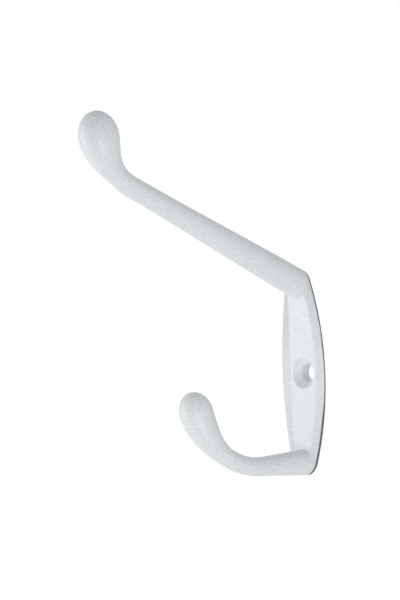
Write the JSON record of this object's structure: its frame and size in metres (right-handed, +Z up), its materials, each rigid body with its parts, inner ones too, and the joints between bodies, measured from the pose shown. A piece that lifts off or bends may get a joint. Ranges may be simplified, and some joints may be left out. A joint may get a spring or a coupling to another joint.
{
  "type": "double coat hook",
  "caption": "Wall hook cast in one piece: an almond plate with a countersunk hole, a long upper arm and a short lower hook, both ending in a knob.",
  "frame": {"origin": "on the axis of the screw hole, in the plane of the plate's flat back, which lies on the wall", "axes": "-Y out of the wall, the way the screw leaves; +Z up; X across the plate"},
  "size_m": [0.0174, 0.0824, 0.1027],
  "materials": {
    "white_coating": "satin white powder coat over cast zinc alloy, with a faint orange peel"
  },
  "bodies": {
    "root": {"double_coat_hook": "white_coating"}
  },
  "joints": []
}
